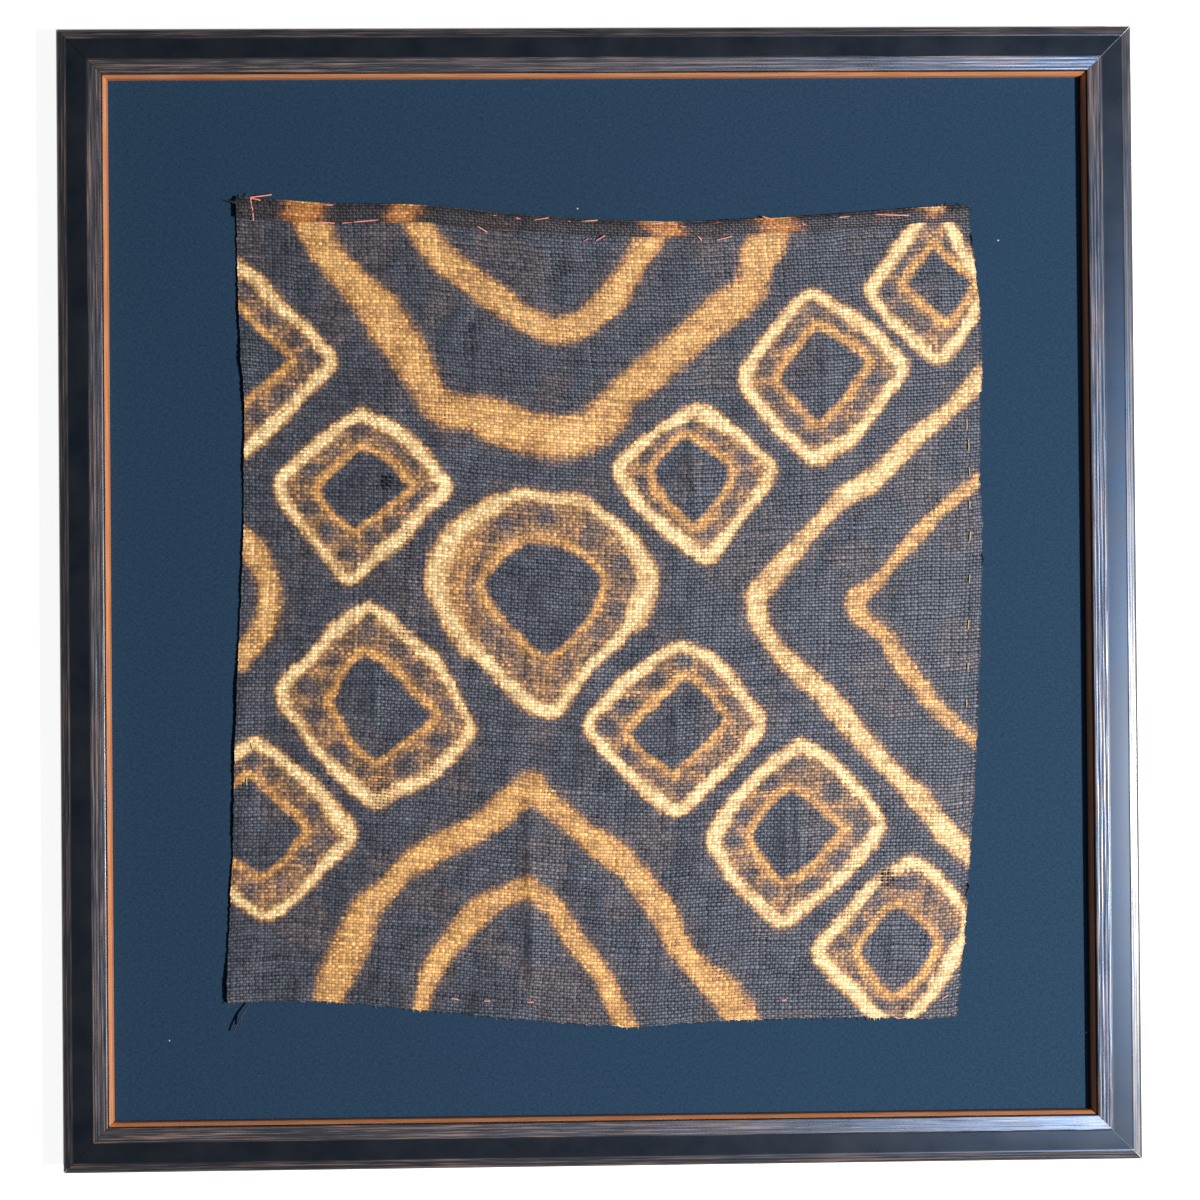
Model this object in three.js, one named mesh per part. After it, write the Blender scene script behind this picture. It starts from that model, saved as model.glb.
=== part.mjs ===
// A resist-dyed raffia cloth mounted in its picture frame, lying on its back.
// Millimetres. The frame's back is at z = 0, +Z comes out of the picture,
// +Y is the picture's top edge and +X its right-hand edge.
import * as THREE from "three";

// The frame: four mitred rails with scraped bands beside a smooth flat.
const FRAME_WIDTH = 700;
const FRAME_HEIGHT = 740;
const FACE_HEIGHT = 22;
const RAIL_WIDTH = 29.4;
const REBATE_AT = 22.5;
const REBATE_DEPTH = 13.7;
const OUTER_BAND = { from: 1.6, to: 6.6, reeds: 3, startDrop: 1.1, endDrop: 0.2 };
const SMOOTH_FLAT = { from: 6.9, to: 20.0, drop: 0.5 };
const INNER_BAND = { from: 20.3, to: 29.0, reeds: 4, startDrop: 0, endDrop: 1.0 };
const REED_RELIEF = 0.25;
const OUTER_SIDE_DROP = 3.4;
const OUTER_ARRIS = { inward: 0.6, drop: 2.1 };
const INNER_SIDE_DROP = 1.8;

// The slip: a narrow copper-coloured sight edge with a flange behind the rail's lip.
const SLIP_SIGHT = 31.5;
const SLIP_TOP_OUTER = 19.2;
const SLIP_TOP_INNER = 16.2;
const SLIP_FLANGE = 1.6;

// Clearances between pieces that touch in the real object.
const SEAT_GAP = 0.3;
const MITRE_GAP = 0.22;

// The backing board, wrapped in navy cloth, behind the slip.
const BOARD_THICKNESS = 5;
const BOARD_FRONT = 11.5;
const BOARD_CORNER = 2;

// The raffia cloth: a sheet with four uneven edges, each listed from one corner to the next.
const CLOTH_THICKNESS = 1.2;
const CLOTH_COLUMNS = 34;
const CLOTH_ROWS = 36;
const TOP_EDGE = [
  { x: -235.4, y: 261.2 },
  { x: -172.4, y: 256.4 },
  { x: -111.1, y: 254.8 },
  { x: -51.8, y: 248.6 },
  { x: 22.7, y: 243.7 },
  { x: 80.3, y: 244.0 },
  { x: 138.8, y: 246.7 },
  { x: 207.2, y: 251.6 },
  { x: 244.1, y: 253.1 },
];
const BOTTOM_EDGE = [
  { x: -243.7, y: -262.6 },
  { x: -228.8, y: -261.8 },
  { x: -191.8, y: -261.9 },
  { x: -119.8, y: -268.7 },
  { x: -2.7, y: -279.9 },
  { x: 62.5, y: -278.7 },
  { x: 108.3, y: -276.7 },
  { x: 205.9, y: -277.7 },
  { x: 231.5, y: -275.6 },
];
const LEFT_EDGE = [
  { x: -235.4, y: 261.2 },
  { x: -233.5, y: 166.6 },
  { x: -231.1, y: 130 },
  { x: -231.5, y: 78.6 },
  { x: -232.6, y: 25.2 },
  { x: -237.1, y: -65.9 },
  { x: -243.8, y: -234.7 },
  { x: -243.7, y: -262.6 },
];
const RIGHT_EDGE = [
  { x: 244.1, y: 253.1 },
  { x: 244.6, y: 238.0 },
  { x: 250.5, y: 170.9 },
  { x: 250.2, y: 101.3 },
  { x: 248.8, y: 73.8 },
  { x: 250.8, y: 25.2 },
  { x: 244.4, y: -109.7 },
  { x: 239.0, y: -188.1 },
  { x: 234.5, y: -241.0 },
  { x: 231.5, y: -275.6 },
];

// The hem: the top edge folded to the front, deeper at the left.
const HEM_FOLD = 1.1;
const HEM_SHOULDER = 1.8;
const HEM_DEPTH = [
  { at: 0, depth: 12.4 },
  { at: 0.35, depth: 9.4 },
  { at: 0.7, depth: 8.0 },
  { at: 1, depth: 9.4 },
];

// Where the cloth stands off the board: soft swells and creases, each with its reach.
const SWELLS = [
  { x: -246, y: -266, reachX: 34, reachY: 46, rise: 2.6 },
  { x: -238, y: -90, reachX: 22, reachY: 170, rise: 1.3 },
  { x: -232, y: 140, reachX: 18, reachY: 120, rise: 1.1 },
  { x: -130, y: 70, reachX: 44, reachY: 34, rise: 1.2 },
  { x: 58, y: 72, reachX: 62, reachY: 26, rise: 1.1 },
  { x: 150, y: 148, reachX: 40, reachY: 60, rise: 0.9 },
  { x: -42, y: -190, reachX: 16, reachY: 90, rise: 0.9 },
  { x: -10, y: -60, reachX: 20, reachY: 60, rise: 0.8 },
  { x: 120, y: -150, reachX: 70, reachY: 40, rise: 0.9 },
  { x: -150, y: -66, reachX: 46, reachY: 40, rise: 1.0 },
  { x: -60, y: -272, reachX: 80, reachY: 26, rise: 0.8 },
  { x: 200, y: -236, reachX: 46, reachY: 34, rise: 0.9 },
  { x: 0, y: 238, reachX: 170, reachY: 18, rise: 0.7 },
  { x: 242, y: 60, reachX: 16, reachY: 120, rise: 0.8 },
];

const LACQUER = { color: 0x2a2f38, roughness: 0.42, metalness: 0 };
const COPPER = { color: 0xc4733f, roughness: 0.4, metalness: 0.35 };
const NAVY_CLOTH = { color: 0x2b425a, roughness: 0.9, metalness: 0 };
const RAFFIA = { color: 0x8a6f52, roughness: 0.85, metalness: 0 };

// The points of a band of rounded reeds, crest by crest, from its outer to its inner side.
function reedPoints(band) {
  const pitch = (band.to - band.from) / band.reeds;
  const slope = (band.startDrop - band.endDrop) / (band.to - band.from);
  const start = FACE_HEIGHT - band.startDrop;
  const roundReed = [[0, 1], [0.25, 0.2], [0.5, 0], [0.75, 0.2]];
  const points = [];
  for (let i = 0; i < band.reeds; i++) {
    for (const [across, dip] of roundReed) {
      const u = (i + across) * pitch;
      points.push([band.from + u, start + slope * u - REED_RELIEF * dip]);
    }
  }
  points.push([band.to, FACE_HEIGHT - band.endDrop - REED_RELIEF]);
  return points;
}

// The rail's section: distance in from the outer edge, then height above the back.
function railSection() {
  const flatHeight = FACE_HEIGHT - SMOOTH_FLAT.drop;
  const front = [
    [0, FACE_HEIGHT - OUTER_SIDE_DROP],
    [OUTER_ARRIS.inward, FACE_HEIGHT - OUTER_ARRIS.drop],
    ...reedPoints(OUTER_BAND),
    [SMOOTH_FLAT.from, flatHeight],
    [SMOOTH_FLAT.to, flatHeight],
    ...reedPoints(INNER_BAND),
    [RAIL_WIDTH, FACE_HEIGHT - INNER_SIDE_DROP],
  ];
  return [
    [0, 0],
    [REBATE_AT, 0],
    [REBATE_AT, REBATE_DEPTH],
    [RAIL_WIDTH, REBATE_DEPTH],
    ...front.reverse(),
  ];
}

// The slip's section: its flange lies in the rebate, against the back of the rail's lip.
function slipSection() {
  const bottom = BOARD_FRONT + SEAT_GAP;
  const flangeTop = bottom + SLIP_FLANGE;
  const flangeFrom = REBATE_AT + SEAT_GAP;
  const edgeFrom = RAIL_WIDTH + SEAT_GAP;
  return [
    [flangeFrom, bottom],
    [SLIP_SIGHT, bottom],
    [SLIP_SIGHT, SLIP_TOP_INNER],
    [edgeFrom, SLIP_TOP_OUTER],
    [edgeFrom, flangeTop],
    [flangeFrom, flangeTop],
  ];
}

function solidFrom(positions, indices) {
  const geometry = new THREE.BufferGeometry();
  geometry.setAttribute("position", new THREE.Float32BufferAttribute(positions, 3));
  geometry.setIndex(indices);
  geometry.computeVertexNormals();
  return geometry;
}

// A length of moulding along X, its outer edge at y = 0, cut at 45 degrees at both ends.
function mitredLength(length, section) {
  const count = section.length;
  const positions = [];
  for (const end of [-1, 1]) {
    for (const [inward, z] of section) {
      positions.push(end * (length / 2 - inward - MITRE_GAP), -inward, z);
    }
  }
  const indices = [];
  for (let i = 0; i < count; i++) {
    const next = (i + 1) % count;
    indices.push(i, count + next, next);
    indices.push(i, count + i, count + next);
  }
  const outline = section.map(([inward, z]) => new THREE.Vector2(inward, z));
  for (const [a, b, c] of THREE.ShapeUtils.triangulateShape(outline, [])) {
    indices.push(a, b, c);
    indices.push(count + a, count + c, count + b);
  }
  return solidFrom(positions, indices);
}

// Four like lengths around the opening, each turned so that its outer edge faces out.
function addSurround(group, suffix, section, finish) {
  const sides = [
    { side: "top", length: FRAME_WIDTH, turn: 0, x: 0, y: FRAME_HEIGHT / 2 },
    { side: "left", length: FRAME_HEIGHT, turn: Math.PI / 2, x: -FRAME_WIDTH / 2, y: 0 },
    { side: "bottom", length: FRAME_WIDTH, turn: Math.PI, x: 0, y: -FRAME_HEIGHT / 2 },
    { side: "right", length: FRAME_HEIGHT, turn: -Math.PI / 2, x: FRAME_WIDTH / 2, y: 0 },
  ];
  for (const { side, length, turn, x, y } of sides) {
    const piece = new THREE.Mesh(mitredLength(length, section), new THREE.MeshStandardMaterial(finish));
    piece.name = `${side}_${suffix}`;
    piece.position.set(x, y, 0);
    piece.rotation.z = turn;
    group.add(piece);
  }
}

function backingBoard() {
  const halfX = FRAME_WIDTH / 2 - REBATE_AT - SEAT_GAP;
  const halfY = FRAME_HEIGHT / 2 - REBATE_AT - SEAT_GAP;
  const outline = new THREE.Shape();
  const corners = [[1, 1, 0], [-1, 1, 1], [-1, -1, 2], [1, -1, 3]];
  for (const [signX, signY, quarter] of corners) {
    const start = (quarter * Math.PI) / 2;
    outline.absarc(
      signX * (halfX - BOARD_CORNER),
      signY * (halfY - BOARD_CORNER),
      BOARD_CORNER,
      start,
      start + Math.PI / 2,
    );
  }
  const geometry = new THREE.ExtrudeGeometry(outline, {
    depth: BOARD_THICKNESS,
    bevelEnabled: false,
    curveSegments: 4,
  });
  const board = new THREE.Mesh(geometry, new THREE.MeshStandardMaterial(NAVY_CLOTH));
  board.name = "backing_board";
  board.position.z = BOARD_FRONT - BOARD_THICKNESS;
  return board;
}

function smoothStep(t) {
  const c = Math.min(Math.max(t, 0), 1);
  return c * c * (3 - 2 * c);
}

function hemDepth(u) {
  const next = HEM_DEPTH.findIndex((row) => row.at >= u);
  if (next <= 0) return HEM_DEPTH[0].depth;
  const a = HEM_DEPTH[next - 1];
  const b = HEM_DEPTH[next];
  return a.depth + ((u - a.at) / (b.at - a.at)) * (b.depth - a.depth);
}

// How far the cloth's underside stands off the board at a point.
function standOff(x, y) {
  let rise = 0;
  for (const swell of SWELLS) {
    const away = Math.hypot((x - swell.x) / swell.reachX, (y - swell.y) / swell.reachY);
    rise += swell.rise * (1 - smoothStep(away));
  }
  return rise;
}

function edgeCurve(points) {
  return new THREE.SplineCurve(points.map(({ x, y }) => new THREE.Vector2(x, y)));
}

// A sheet between the four edges: u runs left to right and v from the top edge down.
function raffiaCloth() {
  const top = edgeCurve(TOP_EDGE);
  const bottom = edgeCurve(BOTTOM_EDGE);
  const left = edgeCurve(LEFT_EDGE);
  const right = edgeCurve(RIGHT_EDGE);
  const [topLeft, topRight] = [top.getPointAt(0), top.getPointAt(1)];
  const [bottomLeft, bottomRight] = [bottom.getPointAt(0), bottom.getPointAt(1)];

  function planPoint(u, v) {
    const [t, b] = [top.getPointAt(u), bottom.getPointAt(u)];
    const [l, r] = [left.getPointAt(v), right.getPointAt(v)];
    const blend = (axis) => {
      const ruled = (1 - v) * t[axis] + v * b[axis] + (1 - u) * l[axis] + u * r[axis];
      const upper = (1 - u) * topLeft[axis] + u * topRight[axis];
      const lower = (1 - u) * bottomLeft[axis] + u * bottomRight[axis];
      return ruled - (1 - v) * upper - v * lower;
    };
    return [blend("x"), blend("y")];
  }

  const lower = [];
  const upper = [];
  const rest = BOARD_FRONT + SEAT_GAP;
  const hemRows = 3;
  for (let row = 0; row <= CLOTH_ROWS; row++) {
    for (let column = 0; column <= CLOTH_COLUMNS; column++) {
      const u = column / CLOTH_COLUMNS;
      const drop = top.getPointAt(u).distanceTo(bottom.getPointAt(u));
      const depth = hemDepth(u);
      const hemLines = [0, depth, depth + HEM_SHOULDER];
      const belowHem = (row - hemRows + 1) / (CLOTH_ROWS - hemRows + 1);
      const below = hemLines[row] ?? hemLines[2] + belowHem * (drop - hemLines[2]);
      const [x, y] = planPoint(u, Math.min(below / drop, 1));
      const z = rest + standOff(x, y);
      lower.push(x, y, z);
      upper.push(x, y, z + CLOTH_THICKNESS + (row < hemRows - 1 ? HEM_FOLD : 0));
    }
  }

  const across = CLOTH_COLUMNS + 1;
  const count = across * (CLOTH_ROWS + 1);
  const indices = [];
  for (let row = 0; row < CLOTH_ROWS; row++) {
    for (let column = 0; column < CLOTH_COLUMNS; column++) {
      const a = row * across + column;
      const [b, c, d] = [a + 1, a + across + 1, a + across];
      indices.push(a, b, c, a, c, d);
      indices.push(count + a, count + c, count + b, count + a, count + d, count + c);
    }
  }

  // The rim, walked once around the sheet, joins the two faces.
  const rim = [];
  for (let column = 0; column < CLOTH_COLUMNS; column++) rim.push(column);
  for (let row = 0; row < CLOTH_ROWS; row++) rim.push(row * across + CLOTH_COLUMNS);
  for (let column = CLOTH_COLUMNS; column > 0; column--) rim.push(CLOTH_ROWS * across + column);
  for (let row = CLOTH_ROWS; row > 0; row--) rim.push(row * across);
  rim.forEach((a, i) => {
    const b = rim[(i + 1) % rim.length];
    indices.push(a, count + b, b, a, count + a, count + b);
  });

  const cloth = new THREE.Mesh(
    solidFrom([...lower, ...upper], indices),
    new THREE.MeshStandardMaterial(RAFFIA),
  );
  cloth.name = "raffia_cloth";
  return cloth;
}

const framedCloth = new THREE.Group();
addSurround(framedCloth, "rail", railSection(), LACQUER);
addSurround(framedCloth, "slip", slipSection(), COPPER);
framedCloth.add(backingBoard());
framedCloth.add(raffiaCloth());

export default framedCloth;
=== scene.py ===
import bmesh
import bpy
import numpy as np
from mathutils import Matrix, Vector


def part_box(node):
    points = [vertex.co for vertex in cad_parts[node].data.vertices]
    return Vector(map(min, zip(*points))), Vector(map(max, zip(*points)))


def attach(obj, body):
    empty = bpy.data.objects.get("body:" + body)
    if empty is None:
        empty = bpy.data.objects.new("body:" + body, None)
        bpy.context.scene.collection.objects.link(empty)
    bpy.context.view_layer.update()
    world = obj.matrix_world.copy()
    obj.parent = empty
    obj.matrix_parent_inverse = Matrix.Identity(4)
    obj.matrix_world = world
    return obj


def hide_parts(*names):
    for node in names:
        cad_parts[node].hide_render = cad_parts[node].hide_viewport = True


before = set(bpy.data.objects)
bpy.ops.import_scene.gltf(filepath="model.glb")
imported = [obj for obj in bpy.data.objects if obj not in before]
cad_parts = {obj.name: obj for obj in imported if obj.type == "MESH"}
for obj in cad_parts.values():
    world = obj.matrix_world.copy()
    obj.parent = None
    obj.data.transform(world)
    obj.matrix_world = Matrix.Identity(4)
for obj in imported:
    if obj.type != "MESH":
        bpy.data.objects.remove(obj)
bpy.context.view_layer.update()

MM = 0.001

# Frame rails: four lengths of wood moulding, mitred and joined at the corners. They are lacquered
# nearly black with a satin polish, and the reeded bands along both edges are scraped by hand, so
# that uneven paler streaks run along them.
FRAME_HALF = (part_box("right_rail")[1].x / MM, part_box("top_rail")[1].y / MM)
SIDES = {"top": (0, 1), "left": (-1, 0), "bottom": (0, -1), "right": (1, 0)}
MITRE_GAP = 0.16
RUN_STEPS = 176
RUN_BUMPS = 40
MAP_SHIFT = 900
RAIL_UNEVENNESS = 0.05
REED_RELIEF = 0.08
REED_STEPS = 8
FLAT_TOP = 21.5
FLAT_CROWN = 0.06
FLAT_MIDDLE = 13.4


def reeds(start, stop, count, top_start, top_stop, relief, scraped):
    """Section points across a band of rounded reeds: distance in, height and how far it is scraped."""
    across = np.linspace(0, 1, count * REED_STEPS + 1)
    dip = 1 - np.abs(np.sin(np.pi * count * across)) ** 0.8
    inward = start + (stop - start) * across
    height = top_start + (top_stop - top_start) * across - relief * dip
    return [(i, h, scraped) for i, h in zip(inward, height)]


def plain_mesh(name, points, faces, values=None):
    """An object with these points and faces, and with named values per point."""
    mesh = bpy.data.meshes.new(name)
    mesh.from_pydata(np.asarray(points).tolist(), [], faces)
    for key, numbers in (values or {}).items():
        stored = mesh.attributes.new(key, "FLOAT", "POINT")
        stored.data.foreach_set("value", np.asarray(numbers, np.float32).ravel())
    piece = bpy.data.objects.new(name, mesh)
    bpy.context.scene.collection.objects.link(piece)
    return piece


def lay_map(mesh, name, places):
    """A UV map that gives each point its place."""
    layer = mesh.uv_layers.new(name=name)
    corner = np.empty(len(mesh.loops), np.int32)
    mesh.loops.foreach_get("vertex_index", corner)
    layer.uv.foreach_set("vector", np.asarray(places, np.float32)[corner].ravel())


def mitred_length(name, side, section, seed, unevenness):
    """A closed length of moulding on one side, from a section of (inward, height, scraped) rows."""
    out = SIDES[side]
    run = (-out[1], out[0])
    reach, half = FRAME_HALF if out[0] else FRAME_HALF[::-1]
    inward, height, scraped = np.array(section).T
    count = len(section)
    rng = np.random.default_rng(seed)
    bumps = rng.standard_normal((RUN_BUMPS, count))
    bumps = (np.roll(bumps, 1, 1) + 2 * bumps + np.roll(bumps, -1, 1)) / 4
    at = np.linspace(-1, 1, RUN_STEPS + 1)
    spread = np.linspace(-1, 1, RUN_BUMPS)
    lift = np.stack([np.interp(at, spread, b) for b in bumps.T], axis=1) * scraped * unevenness
    along = at[:, None] * (half - inward - MITRE_GAP)
    points = np.stack([
        out[0] * (reach - inward) + run[0] * along,
        out[1] * (reach - inward) + run[1] * along,
        height + lift,
    ], axis=-1)
    faces = []
    for step in range(RUN_STEPS):
        for k in range(count):
            a, b = step * count + k, step * count + (k + 1) % count
            faces.append((a, b, b + count, a + count))
    faces.append(tuple(range(count)))
    faces.append(tuple(range(RUN_STEPS * count, (RUN_STEPS + 1) * count)))
    piece = plain_mesh(
        name, points.reshape(-1, 3) * MM, faces, {"scraped": np.tile(scraped, RUN_STEPS + 1)}
    )
    shell = bmesh.new()
    shell.from_mesh(piece.data)
    bmesh.ops.recalc_face_normals(shell, faces=shell.faces)
    shell.to_mesh(piece.data)
    shell.free()
    girth = np.cumsum(np.hypot(np.diff(inward, prepend=0), np.diff(height, prepend=0)))
    places = np.stack(np.broadcast_arrays(along + MAP_SHIFT * seed, girth), axis=-1).reshape(-1, 2)
    lay_map(piece.data, "run", places * MM)
    piece.data.shade_smooth()
    piece.data.set_sharp_from_angle(angle=0.75)
    return piece


def add(tree, kind, inputs=None, **settings):
    """A node with its settings, and its inputs set to values or joined to sockets."""
    node = tree.nodes.new(kind)
    for key, value in settings.items():
        setattr(node, key, value)
    for key, value in (inputs or {}).items():
        if isinstance(value, bpy.types.NodeSocket):
            tree.links.new(value, node.inputs[key])
        else:
            node.inputs[key].default_value = value
    return node


def calc(tree, operation, *inputs):
    """A number worked out from numbers."""
    return add(tree, "ShaderNodeMath", dict(enumerate(inputs)), operation=operation).outputs[0]


def remap(tree, value, low, high, to_low=0.0, to_high=1.0, smooth=False):
    """A value moved from one range to another and kept inside it."""
    kind = "SMOOTHSTEP" if smooth else "LINEAR"
    inputs = {"Value": value, "From Min": low, "From Max": high, "To Min": to_low, "To Max": to_high}
    return add(tree, "ShaderNodeMapRange", inputs, interpolation_type=kind).outputs["Result"]


def vector(tree, operation, *inputs):
    """A vector worked out from vectors."""
    return add(tree, "ShaderNodeVectorMath", dict(enumerate(inputs)), operation=operation).outputs[0]


def noise(tree, place, scale, detail, output="Fac"):
    """Uneven values over a place."""
    inputs = {"Vector": place, "Scale": scale, "Detail": detail}
    return add(tree, "ShaderNodeTexNoise", inputs).outputs[output]


def blend(tree, factor, first, second, kind="MIX"):
    """A colour between two colours."""
    inputs = {0: factor, 6: first, 7: second}
    return add(tree, "ShaderNodeMix", inputs, data_type="RGBA", blend_type=kind).outputs[2]


def new_group(name, inputs, outputs):
    """A shader group with named sockets, returned with its input and output nodes."""
    tree = bpy.data.node_groups.new(name, "ShaderNodeTree")
    for key, kind in inputs.items():
        tree.interface.new_socket(name=key, in_out="INPUT", socket_type=kind)
    for key, kind in outputs.items():
        tree.interface.new_socket(name=key, in_out="OUTPUT", socket_type=kind)
    return tree, tree.nodes.new("NodeGroupInput").outputs, tree.nodes.new("NodeGroupOutput").inputs


def new_material(name, **sockets):
    """A material whose one shader has these sockets set, returned with its tree and that shader."""
    material = bpy.data.materials.new(name)
    material.use_nodes = True
    tree = material.node_tree
    shader = tree.nodes["Principled BSDF"]
    for key, value in sockets.items():
        shader.inputs[key.replace("_", " ")].default_value = value
    return material, tree, shader


streak_tree, streak_in, streak_out = new_group(
    "streaks along a run",
    {"Place": "NodeSocketVector", "Length": "NodeSocketFloat", "Width": "NodeSocketFloat"},
    {"Streak": "NodeSocketFloat", "Patch": "NodeSocketFloat"},
)
place = add(streak_tree, "ShaderNodeSeparateXYZ", {0: streak_in["Place"]}).outputs
stretched = add(streak_tree, "ShaderNodeCombineXYZ", {
    0: calc(streak_tree, "DIVIDE", place[0], streak_in["Length"]),
    1: calc(streak_tree, "DIVIDE", place[1], streak_in["Width"]),
}).outputs[0]
streak_tree.links.new(noise(streak_tree, stretched, 1.0, 3.0), streak_out["Streak"])
streak_tree.links.new(noise(streak_tree, stretched, 0.27, 1.0), streak_out["Patch"])

lacquer, tree, shader = new_material("dark satin lacquer")
run_place = add(tree, "ShaderNodeUVMap", uv_map="run").outputs[0]
streak_sizes = {"Place": run_place, "Length": 0.024, "Width": 0.0003}
streaks = add(tree, "ShaderNodeGroup", streak_sizes, node_tree=streak_tree)
scraped = add(tree, "ShaderNodeAttribute", attribute_name="scraped").outputs["Fac"]
worn = calc(tree, "MULTIPLY_ADD", streaks.outputs["Patch"], 0.6, streaks.outputs["Streak"])
bare = calc(tree, "MULTIPLY", remap(tree, worn, 0.74, 1.02, smooth=True), scraped)
undercoat = blend(
    tree,
    remap(tree, streaks.outputs["Patch"], 0.48, 0.66),
    (0.135, 0.115, 0.120, 1),
    (0.25, 0.165, 0.13, 1),
)
cloudy = noise(tree, run_place, 38.0, 3.0)
coat = blend(tree, remap(tree, cloudy, 0.3, 0.7), (0.0046, 0.0075, 0.0135, 1), (0.0115, 0.0135, 0.0190, 1))
coat = blend(tree, calc(tree, "MULTIPLY", scraped, 0.5), coat, (0.030, 0.028, 0.033, 1))
tree.links.new(blend(tree, bare, coat, undercoat), shader.inputs["Base Color"])
grain = noise(tree, run_place, 1300.0, 1.0)
haze = remap(tree, cloudy, 0.3, 0.7, 0.25, 0.32)
dull = calc(tree, "ADD", remap(tree, grain, 0.35, 0.65, 0.0, 0.10), haze)
tree.links.new(dull, shader.inputs["Roughness"])
tree.links.new(remap(tree, scraped, 0, 1, 0.30, 1.0), shader.inputs["Specular IOR Level"])
fine_relief = calc(tree, "MULTIPLY", grain, 0.12)
relief = calc(tree, "MULTIPLY_ADD", streaks.outputs["Streak"], scraped, fine_relief)
scratch = add(tree, "ShaderNodeBump", {"Height": relief, "Distance": 0.0001, "Strength": 0.3})
tree.links.new(scratch.outputs[0], shader.inputs["Normal"])

# The rail's section, from its outer back edge over the top to the rebate.
rail_section = [
    (0, 0, 0.1), (0, 9, 0.1), (0, 18.2, 0.2), (0.2, 19.2, 0.3), (0.7, 20.1, 0.4), (1.2, 20.5, 0.5),
    *reeds(1.6, 6.6, 3, 20.9, 21.7, REED_RELIEF, 0.6),
    (7.0, FLAT_TOP, 0.1),
    *[
        (inward, FLAT_TOP + FLAT_CROWN * (1 - ((inward - FLAT_MIDDLE) / 6.2) ** 2), 0.0)
        for inward in np.linspace(7.4, 19.4, 9)
    ],
    (19.9, FLAT_TOP, 0.3),
    *reeds(20.3, 29.0, 4, 21.9, 20.9, REED_RELIEF, 1.0),
    (29.25, 20.6, 0.8), (29.4, 20.2, 0.5), (29.4, 13.7, 0.2), (22.5, 13.7, 0), (22.5, 0, 0),
]
for number, side in enumerate(SIDES):
    rail = mitred_length(f"{side}_rail_moulding", side, rail_section, 11 + number, RAIL_UNEVENNESS)
    rail.data.materials.append(lacquer)
    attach(rail, "root")
    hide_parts(f"{side}_rail")

# Slips: four thin mitred strips of wood, painted a copper colour, that show as a narrow bevelled
# line between the rails and the board.
copper, tree, shader = new_material("copper paint", Metallic=0.15, Roughness=0.45)
run_place = add(tree, "ShaderNodeUVMap", uv_map="run").outputs[0]
streak_sizes = {"Place": run_place, "Length": 0.03, "Width": 0.0014}
streaks = add(tree, "ShaderNodeGroup", streak_sizes, node_tree=streak_tree)
thin = remap(tree, streaks.outputs["Streak"], 0.35, 0.7)
paint = blend(tree, thin, (0.52, 0.18, 0.065, 1), (0.68, 0.31, 0.15, 1))
tree.links.new(paint, shader.inputs["Base Color"])
slip_section = [
    (22.8, 11.8, 0), (31.5, 11.8, 0), (31.5, 15.6, 0), (31.42, 16.05, 0), (31.2, 16.5, 0), (30.8, 17.2, 0),
    (30.35, 18.0, 0), (30.05, 18.5, 0), (29.85, 18.8, 0), (29.7, 18.7, 0), (29.7, 13.4, 0), (22.8, 13.4, 0),
]
for number, side in enumerate(SIDES):
    slip = mitred_length(f"{side}_slip_moulding", side, slip_section, 21 + number, 0.0)
    slip.data.materials.append(copper)
    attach(slip, "root")
    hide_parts(f"{side}_slip")

# Backing board: a stiff board wrapped in a fine navy cloth, held in the rebate behind the slips.
# Its cloth is a close plain weave with thicker threads here and there and a little pale lint.
weave_tree, weave_in, weave_out = new_group(
    "plain weave",
    {"Yarns": "NodeSocketVector", "Half Width": "NodeSocketFloat"},
    {
        "Height": "NodeSocketFloat",
        "Warp Over": "NodeSocketFloat",
        "Gap": "NodeSocketFloat",
        "Yarn Tone": "NodeSocketFloat",
        "Crossing Tone": "NodeSocketFloat",
        "Slope": "NodeSocketColor",
    },
)
place = add(weave_tree, "ShaderNodeSeparateXYZ", {0: weave_in["Yarns"]}).outputs
warp = calc(weave_tree, "ROUND", place[0])
weft = calc(weave_tree, "ROUND", place[1])


def yarn_height(across, number, along, rise):
    """A flat yarn that goes over and under its neighbours: height, if inside it, and both slopes."""
    offset = calc(weave_tree, "ABSOLUTE", calc(weave_tree, "SUBTRACT", across, number))
    own_number = {"W": calc(weave_tree, "ADD", number, 600.0 * rise)}
    own = add(weave_tree, "ShaderNodeTexWhiteNoise", own_number, noise_dimensions="1D").outputs["Value"]
    wider = calc(weave_tree, "MULTIPLY_ADD", own, 0.12, -0.07)
    width = calc(weave_tree, "ADD", weave_in["Half Width"], wider)
    share = calc(weave_tree, "DIVIDE", offset, width)
    flat = calc(weave_tree, "SUBTRACT", 1.0, calc(weave_tree, "MULTIPLY", share, share))
    dome = calc(weave_tree, "SQRT", calc(weave_tree, "MAXIMUM", flat, 0.0))
    turn = calc(weave_tree, "MULTIPLY", calc(weave_tree, "ADD", along, number), np.pi)
    wave = calc(weave_tree, "MULTIPLY", calc(weave_tree, "COSINE", turn), rise)
    top = calc(weave_tree, "ADD", wave, calc(weave_tree, "MULTIPLY", dome, 0.6))
    inside = calc(weave_tree, "LESS_THAN", share, 1.0)
    lifted = calc(weave_tree, "MULTIPLY", inside, calc(weave_tree, "ADD", top, 2.0))
    steep = calc(weave_tree, "MAXIMUM", dome, 0.35)
    side = calc(weave_tree, "DIVIDE", calc(weave_tree, "SUBTRACT", across, number), steep)
    fall = calc(weave_tree, "MULTIPLY", calc(weave_tree, "SINE", turn), rise)
    return calc(weave_tree, "SUBTRACT", lifted, 2.0), inside, side, fall


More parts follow.
